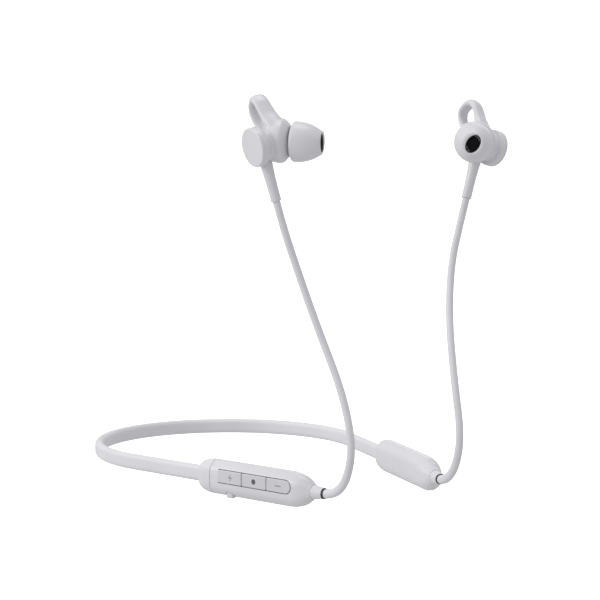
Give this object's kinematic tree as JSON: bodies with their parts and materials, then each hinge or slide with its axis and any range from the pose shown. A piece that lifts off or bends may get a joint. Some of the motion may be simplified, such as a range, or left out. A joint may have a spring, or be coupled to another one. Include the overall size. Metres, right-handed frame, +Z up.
{
  "type": "neckband earphones",
  "caption": "Wireless neckband earphones: a flexible U band with two pods, a pull-apart control pod hiding a plug, and winged earbuds on short cables.",
  "frame": {"origin": "middle of the band's inner face, where it rests on the nape of the neck", "axes": "+Z up, -Y to the wearer's front along the arms, +X to the wearer's left"},
  "size_m": [0.0978, 0.1546, 0.1296],
  "materials": {
    "band_silicone": "satin moulded silicone",
    "pod_plastic": "fine satin paint on plastic",
    "key_plastic": "satin key caps with printed symbols",
    "gland_silicone": "satin silicone strain relief",
    "dark_ring": "dark satin plastic",
    "cable_jacket": "soft satin elastomer jacket",
    "bud_plastic": "satin plastic",
    "wing_silicone": "soft satin silicone",
    "tip_silicone": "soft satin silicone",
    "mesh_black": "black woven mesh",
    "steel": "stamped and brushed",
    "spring_steel": "drawn memory alloy wire",
    "insulator": "black moulded insulator",
    "board_green": "solder mask",
    "battery_wrap": "foil pouch cell",
    "foam": "open-cell foam",
    "harness_jacket": "insulated wire bundle",
    "magnet_plate": "nickel-plated magnet",
    "driver_can": "stamped driver can"
  },
  "bodies": {
    "neckband": {"neckband_jacket": "band_silicone", "memory_wire": "spring_steel", "wire_harness": "harness_jacket", "battery_pod_outer_shell": "pod_plastic", "battery_pod_inner_shell": "pod_plastic", "battery_pod_boot": "band_silicone", "battery_cell": "battery_wrap", "battery_foam_pad": "foam", "battery_protection_board": "board_green", "plug_boot": "band_silicone", "usb_plug_shell": "steel", "usb_plug_insert": "insulator", "left_back_cap": "bud_plastic", "left_back_housing": "bud_plastic", "left_front_housing": "bud_plastic", "left_magnet": "magnet_plate", "left_driver": "driver_can", "left_driver_gasket": "foam", "left_nozzle_mesh": "mesh_black", "left_ear_wing": "wing_silicone", "left_stem": "gland_silicone", "left_cable": "cable_jacket", "left_cable_gland": "gland_silicone", "left_cable_ring": "dark_ring"},
    "control_pod": {"control_pod_outer_shell": "pod_plastic", "control_pod_inner_shell": "pod_plastic", "usb_socket_shell": "steel", "usb_socket_tongue": "insulator", "main_board": "board_green", "bluetooth_module": "steel", "microphone": "steel", "power_switch": "insulator", "volume_up_switch": "insulator", "multifunction_switch": "insulator", "volume_down_switch": "insulator", "right_back_cap": "bud_plastic", "right_back_housing": "bud_plastic", "right_front_housing": "bud_plastic", "right_magnet": "magnet_plate", "right_driver": "driver_can", "right_driver_gasket": "foam", "right_nozzle_mesh": "mesh_black", "right_ear_wing": "wing_silicone", "right_stem": "gland_silicone", "right_cable": "cable_jacket", "right_cable_gland": "gland_silicone", "right_cable_ring": "dark_ring"},
    "volume_up": {"volume_up_key": "key_plastic"},
    "multifunction": {"multifunction_key": "key_plastic"},
    "volume_down": {"volume_down_key": "key_plastic"},
    "power": {"power_key": "key_plastic"},
    "left_tip": {"left_ear_tip": "tip_silicone", "left_tip_screen": "mesh_black"},
    "right_tip": {"right_ear_tip": "tip_silicone", "right_tip_screen": "mesh_black"}
  },
  "joints": [
    {"name": "control_pod_pull", "type": "slide", "parent": "neckband", "child": "control_pod", "axis": [0.2588, -0.9659, 0], "range_m": [0, 0.012]},
    {"name": "volume_up_press", "type": "slide", "parent": "control_pod", "child": "volume_up", "axis": [0.9659, 0.2588, 0], "range_m": [0, 0.00035], "stiffness_N_per_m": 1500},
    {"name": "multifunction_press", "type": "slide", "parent": "control_pod", "child": "multifunction", "axis": [0.9659, 0.2588, 0], "range_m": [0, 0.00035], "stiffness_N_per_m": 1500},
    {"name": "volume_down_press", "type": "slide", "parent": "control_pod", "child": "volume_down", "axis": [0.9659, 0.2588, 0], "range_m": [0, 0.00035], "stiffness_N_per_m": 1500},
    {"name": "power_press", "type": "slide", "parent": "control_pod", "child": "power", "axis": [0, 0, 1], "range_m": [0, 0.0003], "stiffness_N_per_m": 1500},
    {"name": "left_tip_pull", "type": "slide", "parent": "neckband", "child": "left_tip", "axis": [-0.6682, -0.7421, -0.0523], "range_m": [0, 0.009]},
    {"name": "right_tip_pull", "type": "slide", "parent": "control_pod", "child": "right_tip", "axis": [0.6682, -0.7421, -0.0523], "range_m": [0, 0.009]}
  ]
}
